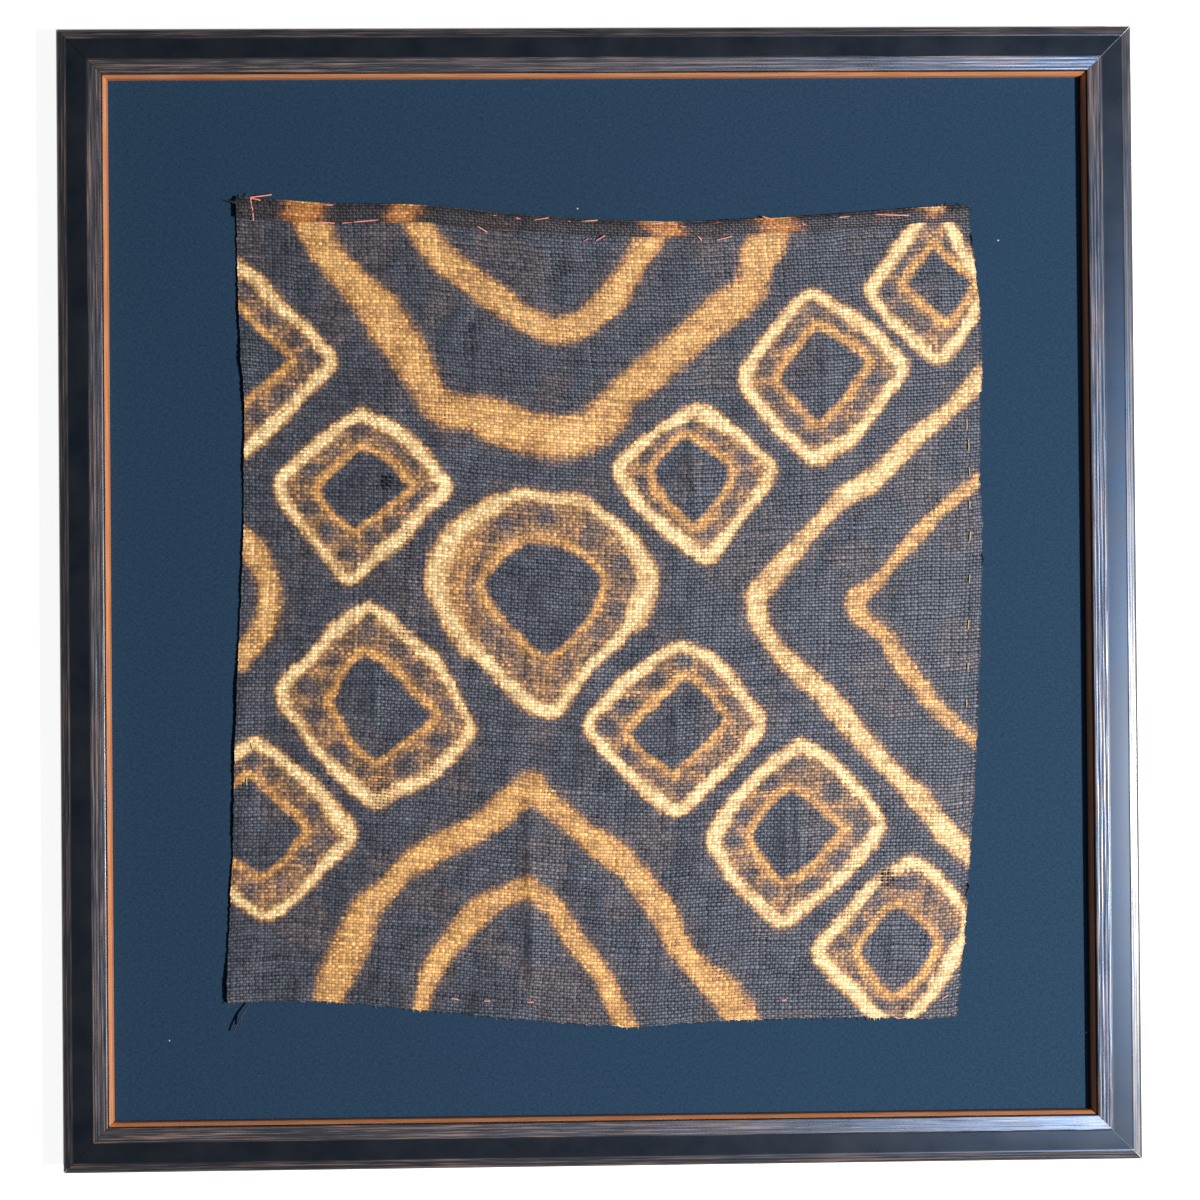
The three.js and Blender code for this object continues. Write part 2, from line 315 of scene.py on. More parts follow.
warp_height, on_warp, warp_side, warp_fall = yarn_height(place[0], warp, place[1], 0.5)
weft_height, on_weft, weft_side, weft_fall = yarn_height(place[1], weft, place[0], -0.35)
warp_over = calc(weave_tree, "GREATER_THAN", warp_height, calc(weave_tree, "ADD", weft_height, 0.45))
covered = calc(weave_tree, "MAXIMUM", on_warp, on_weft)
highest = calc(weave_tree, "MAXIMUM", calc(weave_tree, "MAXIMUM", warp_height, weft_height), -0.6)
warp_number = calc(weave_tree, "SUBTRACT", calc(weave_tree, "SUBTRACT", warp, weft), 700.0)
yarn_number = calc(weave_tree, "MULTIPLY_ADD", warp_over, warp_number, weft)
yarn_tone = add(weave_tree, "ShaderNodeTexWhiteNoise", {"W": yarn_number}, noise_dimensions="1D")
crossing = add(weave_tree, "ShaderNodeCombineXYZ", {0: warp, 1: weft}).outputs[0]
crossing_tone = add(weave_tree, "ShaderNodeTexWhiteNoise", {"Vector": crossing}, noise_dimensions="2D")
warp_slope = add(weave_tree, "ShaderNodeCombineXYZ", {0: warp_side, 1: warp_fall}).outputs[0]
weft_slope = add(weave_tree, "ShaderNodeCombineXYZ", {0: weft_fall, 1: weft_side}).outputs[0]
slopes = {0: warp_over, 4: weft_slope, 5: warp_slope}
slope = add(weave_tree, "ShaderNodeMix", slopes, data_type="VECTOR").outputs[1]
facing = vector(weave_tree, "MULTIPLY_ADD", slope, (0.5, 0.5, 0), (0.5, 0.5, 1.0))
weave_tree.links.new(facing, weave_out["Slope"])
weave_tree.links.new(highest, weave_out["Height"])
weave_tree.links.new(warp_over, weave_out["Warp Over"])
weave_tree.links.new(calc(weave_tree, "SUBTRACT", 1.0, covered), weave_out["Gap"])
weave_tree.links.new(yarn_tone.outputs["Value"], weave_out["Yarn Tone"])
weave_tree.links.new(crossing_tone.outputs["Value"], weave_out["Crossing Tone"])

THREADS_PER_M = 1400
navy, tree, shader = new_material("navy cloth", Roughness=0.9, Specular_IOR_Level=0.15)
spot = add(tree, "ShaderNodeTexCoord").outputs["Object"]
threads = vector(tree, "MULTIPLY", spot, (THREADS_PER_M, THREADS_PER_M, THREADS_PER_M))
weave = add(tree, "ShaderNodeGroup", {"Yarns": threads, "Half Width": 0.48}, node_tree=weave_tree)
slubs = [
    noise(tree, vector(tree, "MULTIPLY", spot, paces), 1.0, 2.0)
    for paces in ((1300, 420, 1), (420, 1300, 1))
]
depth = remap(tree, calc(tree, "ADD", *slubs), 0.7, 1.3)
navy_dye = blend(tree, depth, (0.0088, 0.0275, 0.058, 1), (0.0195, 0.050, 0.098, 1))
specks = add(tree, "ShaderNodeTexVoronoi", {"Vector": spot, "Scale": 22.0}).outputs["Distance"]
lint = calc(tree, "LESS_THAN", specks, 0.012)
tree.links.new(blend(tree, lint, navy_dye, (0.5, 0.52, 0.52, 1)), shader.inputs["Base Color"])
bump_sizes = {"Height": weave.outputs["Height"], "Strength": 0.4, "Distance": 0.0003}
cloth_bump = add(tree, "ShaderNodeBump", bump_sizes)
tree.links.new(cloth_bump.outputs[0], shader.inputs["Normal"])
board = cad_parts["backing_board"]
board.data.materials.clear()
board.data.materials.append(navy)

# Raffia cloth: one panel of coarse plain weave from flat strips of palm leaf, sewn in folds and
# dyed dark so that nested lozenges, arches and chevrons stay pale. Its top edge is folded to the
# front as a hem, and it is stitched to the board's cloth along its edges.
WARPS = 231
WEFTS = 264
HEM_WEFTS = 6
UNDER_STEP = 3
HEM_DEPTH = ((0, 12.4), (0.35, 9.4), (0.7, 8.0), (1, 9.4))
FOLD_RADIUS = 0.95
CLOTH_THICKNESS = 0.9
CLOTH_REST = 11.8
CRIMP = 0.2
DRIFT_WAVES = 14
HEM_BENDS = 46
YARN_BENDS = 12
TOP_EDGE = (
    (-235.4, 261.2), (-172.4, 256.4), (-111.1, 254.8), (-51.8, 248.6), (22.7, 243.7),
    (80.3, 244.0), (138.8, 246.7), (207.2, 251.6), (244.1, 253.1),
)
BOTTOM_EDGE = (
    (-243.7, -262.6), (-228.8, -261.8), (-191.8, -261.9), (-119.8, -268.7), (-2.7, -279.9),
    (62.5, -278.7), (108.3, -276.7), (205.9, -277.7), (231.5, -275.6),
)
LEFT_EDGE = (
    (-235.4, 261.2), (-233.5, 166.6), (-231.1, 130), (-231.5, 78.6), (-232.6, 25.2),
    (-237.1, -65.9), (-243.8, -234.7), (-243.7, -262.6),
)
RIGHT_EDGE = (
    (244.1, 253.1), (244.6, 238.0), (250.5, 170.9), (250.2, 101.3), (248.8, 73.8), (250.8, 25.2),
    (244.4, -109.7), (239.0, -188.1), (234.5, -241.0), (231.5, -275.6),
)
# Where the cloth stands off the board: x, y, reach along x, reach along y, rise.
SWELLS = (
    (-246, -266, 34, 46, 2.6), (-238, -90, 22, 170, 1.3), (-232, 140, 18, 120, 1.1),
    (-130, 70, 44, 34, 1.2), (58, 72, 62, 26, 1.1), (150, 148, 40, 60, 0.9), (-42, -190, 16, 90, 0.9),
    (-10, -60, 20, 60, 0.8), (120, -150, 70, 40, 0.9), (-150, -66, 46, 40, 1.0),
    (-60, -272, 80, 26, 0.8), (200, -236, 46, 34, 0.9), (0, 238, 170, 18, 0.7), (242, 60, 16, 120, 0.8),
)
# Creases left by folding: start, end, half width, rise.
CREASES = (
    (-48, -124, -46, -272, 5, 0.9), (-2, -84, -3, -116, 4, 0.8), (-82, -186, 26, -190, 3, 0.6),
    (-60, -176, 20, -181, 2.5, -0.5), (-140, 92, -136, 20, 4, 0.6), (-116, 40, -122, -30, 3.5, -0.5),
    (60, 110, 64, 36, 4, 0.6), (147, 186, 150, 100, 4, 0.6), (126, -110, 130, -200, 4, 0.6),
    (-146, -48, -147, -92, 3, 0.8), (224, 222, 225, 184, 3, 0.8), (48, -66, 49, -104, 3, 0.7),
    (120, -138, 119, -178, 3, 0.7), (-153, 90, -153, 56, 3, 0.6), (190, -216, 189, -250, 3, 0.6),
    (241, 130, 238, -120, 2.4, -0.6), (236, -120, 231, -250, 2.4, -0.5),
)


def smooth_line(points, per_part=24):
    """A smooth line through the points, resampled at even distances."""
    p = np.array([points[0], *points, points[-1]], float)
    t = np.linspace(0, 1, per_part, endpoint=False)[:, None]
    parts = []
    for a, b, c, d in zip(p, p[1:], p[2:], p[3:]):
        bend = (2 * a - 5 * b + 4 * c - d) * t**2 + (3 * b - a - 3 * c + d) * t**3
        parts.append(b + 0.5 * ((c - a) * t + bend))
    line = np.concatenate([*parts, p[-1:]])
    reach = np.concatenate([[0], np.cumsum(np.hypot(*np.diff(line, axis=0).T))])
    even = np.linspace(0, reach[-1], len(line))
    return np.stack([np.interp(even, reach, line[:, k]) for k in (0, 1)], axis=1)


def on_line(line, share):
    """The points at these shares of a line's length."""
    marks = np.linspace(0, 1, len(line))
    return np.stack([np.interp(share, marks, line[:, k]) for k in (0, 1)], axis=-1)


def ease(value, low, high):
    """0 below the low value and 1 above the high one, with a smooth step between."""
    t = np.clip((value - low) / (high - low), 0, 1)
    return t * t * (3 - 2 * t)


def drift(x, y, size, seed):
    """Smooth uneven values about 0, which change over about this size."""
    rng = np.random.default_rng(seed)
    total = np.zeros_like(x)
    for _ in range(DRIFT_WAVES):
        angle, phase = rng.uniform(0, 2 * np.pi, 2)
        pace = 2 * np.pi / (size * rng.uniform(1.2, 3.2))
        total += np.cos((x * np.cos(angle) + y * np.sin(angle)) * pace + phase)
    return total / 2.6


top, bottom, left, right = (smooth_line(e) for e in (TOP_EDGE, BOTTOM_EDGE, LEFT_EDGE, RIGHT_EDGE))
u = np.broadcast_to(np.linspace(0, 1, WARPS + 1), (WEFTS + 1, WARPS + 1))
row = np.broadcast_to(np.arange(WEFTS + 1)[:, None] - HEM_WEFTS, u.shape)
drop = np.linalg.norm(on_line(top, u) - on_line(bottom, u), axis=-1)
rng = np.random.default_rng(5)
hem_wave = np.interp(u[0], np.linspace(0, 1, HEM_BENDS), rng.normal(0, 0.35, HEM_BENDS))
hem = np.interp(u, *np.array(HEM_DEPTH).T) + hem_wave
quarter = FOLD_RADIUS * np.pi / 2
hem_pace, body_pace = (hem + quarter) / HEM_WEFTS, (drop + quarter) / (WEFTS - HEM_WEFTS)
travel = np.where(row < 0, row * hem_pace, row * body_pace)
turn = np.clip(travel / FOLD_RADIUS, -np.pi / 2, np.pi / 2)
below = FOLD_RADIUS * (1 - np.cos(turn)) + np.maximum(np.abs(travel) - quarter, 0)
v = np.clip(below / drop, 0, 1)
ruled = (1 - v)[..., None] * on_line(top, u) + v[..., None] * on_line(bottom, u)
ruled = ruled + (1 - u)[..., None] * on_line(left, v) + u[..., None] * on_line(right, v)
upper = (1 - u)[..., None] * top[0] + u[..., None] * top[-1]
lower = (1 - u)[..., None] * bottom[0] + u[..., None] * bottom[-1]
plan = ruled - (1 - v)[..., None] * upper - v[..., None] * lower
x, y = plan[..., 0].copy(), plan[..., 1].copy()

lift = np.zeros_like(x)
for at_x, at_y, reach_x, reach_y, rise in SWELLS:
    lift += rise * (1 - ease(np.hypot((x - at_x) / reach_x, (y - at_y) / reach_y), 0, 1))
for x0, y0, x1, y1, half, rise in CREASES:
    run_x, run_y = x1 - x0, y1 - y0
    share = np.clip(((x - x0) * run_x + (y - y0) * run_y) / (run_x**2 + run_y**2), 0, 1)
    away = np.hypot(x - x0 - share * run_x, y - y0 - share * run_y)
    lift += rise * (1 - ease(away, 0, half)) * np.sin(np.pi * np.clip(share, 0.12, 0.88))
lift += 0.3 * (1 + drift(x, y, 26, 2)) + 0.12 * (1 + drift(x, y, 9, 3))
lift = np.maximum(lift, 0)

# The dye figures. Lozenges: the top, right, bottom and left corners of the outer pale ring and how far
# its sides bulge, then those of the inner ring. The last is the drop in the middle, whose sides differ.
LOZENGES = (
    (((-154, 122), (-100, 73), (-165, 12), (-208, 74)), 4,
     ((-154, 99), (-122, 73), (-159, 43), (-184, 70)), 2),
    (((-150, -6), (-84, -85), (-146, -132), (-206, -65)), 7,
     ((-153, -34), (-109, -76), (-146, -107), (-180, -68)), 3),
    (((62, 122), (112, 82), (69, 24), (11, 81)), 4,
     ((57, 105), (87, 81), (62, 44), (34, 79)), 3),
    (((140, 195), (199, 149), (144, 87), (96, 140)), 6,
     ((143, 176), (176, 152), (144, 111), (117, 140)), 2.5),
    (((220, 255), (254, 198), (223, 152), (178, 197)), 2,
     ((221, 230), (248, 202), (227, 176), (201, 203)), 1),
    (((54, -31), (105, -83), (46, -141), (-8, -84)), 5,
     ((53, -54), (81, -81), (47, -118), (17, -90)), 2),
    (((130, -99), (182, -152), (116, -214), (71, -159)), 6,
     ((123, -126), (157, -155), (118, -189), (95, -157)), 3),
    (((202, -175), (239, -218), (193, -283), (140, -233)), 5,
     ((194, -204), (220, -228), (190, -263), (165, -233)), 4),
    (((-236, 219), (-174, 155), (-234, 93), (-292, 156)), 2,
     ((-235, 191), (-202, 154), (-234, 123), (-266, 156)), 1),
    (((-226, -91), (-167, -154), (-220, -208), (-275, -150)), 5,
     ((-229, -115), (-191, -153), (-224, -180), (-268, -150)), 2),
    (((-39, 67), (34, 6), (-35, -76), (-109, 12)), (16, 4, 10, 16),
     ((-38, 36), (2, 6), (-36, -40), (-77, 6)), (10, 7, 6, 9)),
)
# Bands: half width, how gold and how pale it is, and the way of its middle line.
BANDS = (
    (12.0, 0.85, 0.86, (
        (-192, 266), (-180, 230), (-146, 190), (-117, 144), (-100, 124), (-59, 114), (-20, 102),
        (12, 128), (57, 165), (96, 199), (104, 218), (123, 258),
    )),
    (9.4, 0.8, 0.84, ((-129, 263), (-107, 229), (-68, 195), (-24, 174), (5, 190), (22, 214), (51, 259))),
    (9.8, 0.9, 0.84, ((-181, -281), (-176, -257), (-161, -216), (-130, -179), (-80, -148), (-46, -125))),
    (9.4, 0.9, 0.84, (
        (-48, -124), (-31, -138), (-3, -161), (16, -179), (39, -208), (57, -239), (83, -267),
        (95, -284),
    )),
    (7.6, 0.9, 0.82, ((-124, -283), (-114, -252), (-101, -228), (-78, -202), (-47, -189))),
    (7.4, 0.9, 0.82, ((-48, -189), (-31, -206), (-8, -239), (3, -257), (14, -284))),
    (6.8, 0.35, 0.92, (
        (260, 149), (228, 119), (193, 88), (149, 52), (112, 13), (102, -7), (114, -35), (154, -76),
        (194, -120), (250, -182),
    )),
    (5.2, 0.8, 0.78, ((259, 83), (222, 53), (182, 9), (168, -8), (190, -33), (220, -77), (254, -103))),
    (13.5, 0.85, 0.84, ((-70, 114), (-20, 104), (12, 122))),
    (8.5, 0.35, 0.92, ((-86, -32), (-106, 10), (-92, 44), (-68, 61))),
    (13.0, 0.85, 0.6, ((-88, -22), (-97, 8), (-86, 34))),
    (8.0, 0.35, 0.9, ((20, 34), (31, 10), (22, -15))),
    (8.5, 0.75, 0.86, ((-237, 43), (-222, 25), (-215, 4), (-219, -17), (-236, -37))),
)

dye_x = x + 0.9 * drift(x, y, 26, 31) + 0.12 * drift(x, y, 6, 32)
dye_y = np.where(row < 0, 2 * on_line(top, u)[..., 1] - y, y)
dye_y = dye_y + 0.9 * drift(x, y, 26, 33) + 0.12 * drift(x, y, 6, 34)
blotch = ease(drift(x, y, 12, 35), -1.0, 1.0)
strength_waver = 0.95 + 0.05 * drift(x, y, 14, 37) + 0.04 * drift(x, y, 60, 38)
resist = 0.08 * np.clip(0.3 + drift(x, y, 34, 36), 0, 1.4)
gold = np.full_like(x, 0.8)
broad = 1 + 0.1 * drift(x, y, 32, 39)


def keep_pale(strength, tone):
    """Leaves yarns pale where they are paler than what is there."""
    stronger = strength > resist
    gold[stronger] = tone
    resist[stronger] = strength[stronger]


def fade(away, reach, sharpness):
    """1 on a line, less and less away from it."""
    return np.exp(-((np.abs(away) / reach) ** sharpness))


def away_from(line):
    """Distance of each crossing from a line."""
    away = np.full_like(x, 1e9)
    for px, py in line:
        np.minimum(away, np.hypot(dye_x - px, dye_y - py), out=away)
    return away


def outside(ring):
    """Distance from a closed ring, less than zero inside it."""
    inside = np.zeros(x.shape, bool)
    for (ax, ay), (bx, by) in zip(ring, np.roll(ring, -1, axis=0)):
        if ay != by:
            level = (ay > dye_y) != (by > dye_y)
            inside ^= level & (dye_x < ax + (dye_y - ay) * (bx - ax) / (by - ay))
    return away_from(ring) * np.where(inside, -1, 1)


def lozenge_ring(corners, bulge):
    """A closed ring through the corners with gently bulging sides."""
    corners = np.array(corners, float)
    centre = corners.mean(axis=0)
    points = []
    for a, b, swell in zip(corners, np.roll(corners, -1, axis=0), np.broadcast_to(bulge, len(corners))):
        out = (a + b) / 2 - centre
        out /= np.hypot(*out)
        points.append(a)
        points += [a + (b - a) * t + out * swell * k for t, k in ((0.2, 0.7), (0.5, 1.0), (0.8, 0.7))]
    return smooth_line([*points, points[0]], 8)


HALO_TONE = 0.9
for half, tone, pale, way in BANDS:
    away = away_from(smooth_line(way, 20))
    keep_pale(0.17 * fade(away, half + 8, 2.4), HALO_TONE)
    keep_pale(pale * strength_waver * fade(away, 1.06 * half * broad, 4.5), tone)
# Dark spots lie between each pair of rings, where the cloth was gathered.
SPOTS = 11
SPOT_REACH = (6.6, 6.0)
spot_rng = np.random.default_rng(8)
around = np.linspace(0, 1, 120)
for outer_corners, outer_bulge, inner_corners, inner_bulge in LOZENGES:
    outer = lozenge_ring(outer_corners, outer_bulge)
    inner = lozenge_ring(inner_corners, inner_bulge)
    out, into = outside(outer), outside(inner)
    keep_pale(0.15 * fade(np.maximum(out, 0), 11, 2) * (into > 0), HALO_TONE)
    middle = (on_line(outer, around) + on_line(inner, around)) / 2
    spots = on_line(middle, (np.arange(SPOTS) + spot_rng.uniform(-0.3, 0.3, SPOTS)) / SPOTS)
    spot_dark = np.zeros_like(x)
    for (spot_x, spot_y), depth in zip(spots, spot_rng.uniform(0.35, 1.0, SPOTS)):
        away = np.hypot((dye_x - spot_x) / SPOT_REACH[0], (dye_y - spot_y) / SPOT_REACH[1])
        spot_dark = np.maximum(spot_dark, depth * fade(away, 1, 4))
    between = ease(into, -1, 3) * ease(-out, -1, 3)
    keep_pale(between * (0.36 + 0.1 * blotch) * (1 - 0.8 * spot_dark), 0.6)
    keep_pale(1.02 * strength_waver * fade(out, np.where(out > 0, 4.7, 5.6) * broad, 3), 0.2)
    keep_pale(0.80 * strength_waver * fade(into, np.where(into > 0, 4.8 * broad, 3.0), 2.6), 0.95)
    from_centre = np.hypot(x - inner[:, 0].mean(), y - inner[:, 1].mean())
    lift = lift + 0.7 * (1 - ease(from_centre, 2, 16))

# Where the yarns have parted or worn away: x, y, reach along x, reach along y, how far.
OPEN_SPOTS = (
    (-139, 76, 7, 7, 1.0), (186, -186, 8, 8, 1.0), (-126, 32, 6, 26, 0.42), (-144, -128, 8, 22, 0.42),
    (-129, -20, 5, 24, 0.42), (-138, 130, 7, 20, 0.4), (-14, 128, 16, 8, 0.34), (-60, 60, 10, 6, 0.38),
    (30, 34, 8, 12, 0.34), (150, 60, 12, 8, 0.34), (116, -6, 9, 14, 0.36), (-100, 130, 8, 26, 0.34),
)
loose = 0.3 * np.clip(drift(x, y, 12, 41) - 0.7, 0, 1)
for at_x, at_y, reach_x, reach_y, parted in OPEN_SPOTS:
    away = np.hypot((x - at_x) / reach_x, (y - at_y) / reach_y)
    loose = np.maximum(loose, parted * (1 - ease(away, 0.5, 1)))

parity = 1 - 2 * ((np.arange(WEFTS + 1)[:, None] + np.arange(WARPS + 1)) % 2)
rng = np.random.default_rng(6)
warp_sway = rng.normal(0, 0.45, (YARN_BENDS, WARPS + 1))
weft_sway = rng.normal(0, 0.4, (WEFTS + 1, YARN_BENDS))
bends = np.linspace(0, 1, YARN_BENDS)
steps_down, steps_across = np.arange(WEFTS + 1) / WEFTS, np.arange(WARPS + 1) / WARPS
x += np.stack([np.interp(steps_down, bends, sway) for sway in warp_sway.T], axis=1)
y += np.stack([np.interp(steps_across, bends, sway) for sway in weft_sway]) * (row > 1)
x[:, -1] += rng.normal(0, 0.4, WEFTS + 1)
x[:, 0] += rng.normal(0, 0.2, WEFTS + 1)
y[-1] += rng.normal(0, 0.4, WARPS + 1)
z = CLOTH_REST + CLOTH_THICKNESS + CRIMP + lift + CRIMP * parity + FOLD_RADIUS * (1 - np.sin(turn))
cloth_points = np.stack([x, y, z], axis=-1)

number = np.arange((WEFTS + 1) * (WARPS + 1)).reshape(WEFTS + 1, WARPS + 1)
under_rows = [*range(HEM_WEFTS), *range(HEM_WEFTS, WEFTS + 1, UNDER_STEP)]
under_columns = list(range(0, WARPS + 1, UNDER_STEP))
kept_below = np.ix_(under_rows, under_columns)
through = np.stack([np.zeros_like(turn), np.cos(turn), -np.sin(turn)], axis=-1) * CLOTH_THICKNESS
under_points = (cloth_points + through)[kept_below]
under = number.size + np.arange(under_points[..., 0].size).reshape(under_points.shape[:2])


def grid_faces(grid):
    """The four-sided faces between the points of a grid."""
    corners = (grid[1:, :-1], grid[1:, 1:], grid[:-1, 1:], grid[:-1, :-1])
    return np.stack(corners, axis=-1).reshape(-1, 4).tolist()


cloth_faces = grid_faces(number) + [face[::-1] for face in grid_faces(under)]
for k, (a, b) in enumerate(zip(under_rows, under_rows[1:])):
    cloth_faces.append([*number[a:b + 1, 0], under[k + 1, 0], under[k, 0]])
    cloth_faces.append([*number[a:b + 1, -1][::-1], under[k, -1], under[k + 1, -1]])
for k, (a, b) in enumerate(zip(under_columns, under_columns[1:])):
    cloth_faces.append([*number[0, a:b + 1][::-1], under[0, k], under[0, k + 1]])
    cloth_faces.append([*number[-1, a:b + 1], under[-1, k + 1], under[-1, k]])


def both_faces(values):
    """Values for the points of the front, then for those of the underside."""
    width = values.shape[2:]
    return np.concatenate([values.reshape(-1, *width), values[kept_below].reshape(-1, *width)])


all_points = np.concatenate([cloth_points.reshape(-1, 3), under_points.reshape(-1, 3)])
cloth = plain_mesh("raffia_panel", all_points * MM, [[int(p) for p in face] for face in cloth_faces], {
    "resist": both_faces(resist),
    "gold": both_faces(gold),
    "reverse": both_faces(ease(-travel, 0, 1.5)),
    "loose": both_faces(loose),
})
yarn_places = np.stack([u, np.broadcast_to(steps_down[:, None], u.shape)], axis=-1)
lay_map(cloth.data, "yarns", both_faces(yarn_places))
cloth.data.shade_smooth()
cloth.data.set_sharp_from_angle(angle=1.2)

raffia, tree, shader = new_material("dyed raffia", Roughness=0.5, Specular_IOR_Level=0.4)
yarn_place = add(tree, "ShaderNodeUVMap", uv_map="yarns").outputs[0]
yarns = vector(tree, "MULTIPLY", yarn_place, (WARPS, WEFTS, 0))
wander = vector(tree, "SUBTRACT", noise(tree, yarns, 0.10, 2.0, "Color"), (0.5, 0.5, 0.5))
yarns = vector(tree, "ADD", yarns, vector(tree, "MULTIPLY", wander, (1.3, 1.3, 1.3)))
named = {
    key: add(tree, "ShaderNodeAttribute", attribute_name=key).outputs["Fac"]
    for key in ("resist", "gold", "reverse", "loose")
}
yarn_sizes = {"Yarns": yarns, "Half Width": remap(tree, named["loose"], 0, 1, 0.52, 0.16)}
weave = add(tree, "ShaderNodeGroup", yarn_sizes, node_tree=weave_tree)
uneven = noise(tree, vector(tree, "MULTIPLY", yarns, (0.9, 0.16, 1)), 1.0, 2.0)
picks = noise(tree, vector(tree, "MULTIPLY", yarns, (0.12, 0.8, 1)), 1.0, 2.0)
crossing_part = calc(tree, "MULTIPLY_ADD", weave.outputs["Crossing Tone"], 0.16, -0.08)
yarn_part = calc(tree, "MULTIPLY_ADD", weave.outputs["Yarn Tone"], 0.14, -0.07)
most = remap(tree, named["resist"], 0.05, 0.5, 0.15, 1.0)
ragged = calc(tree, "MULTIPLY", calc(tree, "ADD", crossing_part, yarn_part), most)
taken = calc(tree, "ADD", named["resist"], ragged)


def dye_scale(tree, amount, stops):
    """Colours from fully dyed to undyed yarn."""
    ramp = add(tree, "ShaderNodeValToRGB", {"Fac": amount})
    marks = ramp.color_ramp.elements
    while len(marks) < len(stops):
        marks.new(0.5)
    for mark, (position, colour) in zip(marks, stops):
        mark.position = position
        mark.color = (*colour, 1)
    return ramp.outputs["Color"]


DARK = (0.043, 0.045, 0.058)
cream = dye_scale(tree, taken, (
    (0.06, DARK), (0.3, (0.145, 0.092, 0.066)), (0.55, (0.42, 0.235, 0.095)),
    (0.78, (0.70, 0.46, 0.21)), (1.0, (0.88, 0.67, 0.36))))
golden = dye_scale(tree, taken, (
    (0.06, DARK), (0.3, (0.135, 0.083, 0.058)), (0.55, (0.37, 0.180, 0.060)),
    (0.78, (0.56, 0.285, 0.080)), (1.0, (0.68, 0.375, 0.118))))
dyed = blend(tree, named["gold"], cream, golden)
dyed = blend(tree, calc(tree, "MULTIPLY", named["reverse"], 0.8), dyed, (0.62, 0.40, 0.24, 1), "MULTIPLY")
# Painted shade: the dyed colour is multiplied by a grey that is darker where the weave sits low and nearly
# black in the gaps between yarns, as if shade fell there. The same grey also carries random yarn and
# crossing tones and darker warp floats. The painted shade is weaker on pale yarns, and parted spots are
# darker.
shade = remap(tree, weave.outputs["Height"], 0.1, 0.95, 0.02, 1.4)
for value, low, high, at_low, at_high in (
    (weave.outputs["Crossing Tone"], 0, 1, 0.6, 1.4),
    (weave.outputs["Yarn Tone"], 0, 1, 0.72, 1.2),
    (uneven, 0.3, 0.7, 0.80, 1.16),
    (picks, 0.3, 0.7, 0.74, 1.24),
    (weave.outputs["Warp Over"], 0, 1, 1.1, 0.8),
):
    shade = calc(tree, "MULTIPLY", shade, remap(tree, value, low, high, at_low, at_high))
painted_shade_eased_on_pale = remap(tree, named["resist"], 0.2, 0.9, 0.0, 0.48)
shade = calc(tree, "ADD", shade, calc(tree, "MULTIPLY", painted_shade_eased_on_pale, calc(tree, "SUBTRACT", 0.95, shade)))
# Painted shade: nearly black in the gaps between yarns.
shade = calc(tree, "MULTIPLY", shade, remap(tree, weave.outputs["Gap"], 0, 1, 1.0, 0.06))
shade = calc(tree, "MULTIPLY", shade, remap(tree, named["loose"], 0.5, 1, 1.0, 0.5))
painted_shade_colour = add(tree, "ShaderNodeCombineColor", {0: shade, 1: shade, 2: shade}).outputs[0]
tree.links.new(blend(tree, 1.0, dyed, painted_shade_colour, "MULTIPLY"), shader.inputs["Base Color"])
rounding = {"Strength": 0.65, "Color": weave.outputs["Slope"]}
rounded = add(tree, "ShaderNodeNormalMap", rounding, uv_map="yarns")
tree.links.new(rounded.outputs[0], shader.inputs["Normal"])
cloth.data.materials.append(raffia)
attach(cloth, "root")
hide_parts("raffia_cloth")

# Sewing threads: pink cotton stitches along the hem, a knot of the same thread at the top left
# corner, and pale gold ones down the right edge, which hold the cloth to the board.
PINK_STITCHES = (
    ((-197, 255), (-172, 256)), ((-69, 249), (-66, 248)), ((-54, 247), (-49, 245.5)),
    ((-41, 245), (-32, 246.5)), ((-21, 245), (-17, 244)), ((-11, 244), (0, 245)),
    ((34, 242), (43, 243)), ((46, 243), (61, 239.5)), ((78, 243), (85, 243)), ((108, 247), (117, 244)),
    ((130, 244), (138, 240)), ((157, 246), (172, 247)), ((178, 248), (204, 247)),
    ((-185, 245), (-171, 244)), ((-166, 244), (-139, 246)), ((-83, 244), (-72, 238)),
    ((-9, 232), (-6, 233)), ((-1, 232), (5, 235)), ((66, 234), (68, 232)), ((78, 232), (88, 234)),
    ((-99, -261), (-95, -262)), ((-78, -263), (-74, -263)), ((-50, -264), (-46, -264)),
    ((92, -267), (98, -267)), ((116, -265), (119, -265)), ((221, -265), (225, -263)),
    ((-226, 261), (-219, 262), (-212, 263)), ((-225, 260.5), (-219, 259)),
    ((-225.5, 261), (-225, 256), (-224, 252), (-228, 249)), ((-224, 252), (-224, 246)),
)
GOLD_STITCHES = (
    ((241, 114), (241, 107)), ((242, 100), (242, 93)), ((242, 82), (242.5, 76)), ((242, 60), (242, 55)),
    ((242.5, 40), (242, 34)), ((242, 12), (241.5, 6)), ((241, -18), (240.5, -24)), ((240, -46), (240, -51)),
    ((239, -70), (239, -75)), ((-228, -94), (-227, -98)), ((-231, -116), (-231, -121)),
)


def on_cloth(px, py, reach=2.6):
    """Height of the cloth's front at a point."""
    near = np.hypot(cloth_points[..., 0] - px, cloth_points[..., 1] - py)
    found = cloth_points[..., 2][near < reach]
    return found.max() if found.size else cloth_points[..., 2].flat[near.argmin()]


def strand_mesh(name, strands):
    """A mesh of open chains of edges that lie on the cloth."""
    points, edges = [], []
    for strand in strands:
        for k, (px, py) in enumerate(strand):
            if k:
                edges.append((len(points) - 1, len(points)))
            points.append((px * MM, py * MM, (on_cloth(px, py) + 0.1) * MM))
    mesh = bpy.data.meshes.new(name)
    mesh.from_pydata(points, edges, [])
    piece = bpy.data.objects.new(name, mesh)
    bpy.context.scene.collection.objects.link(piece)
    return piece


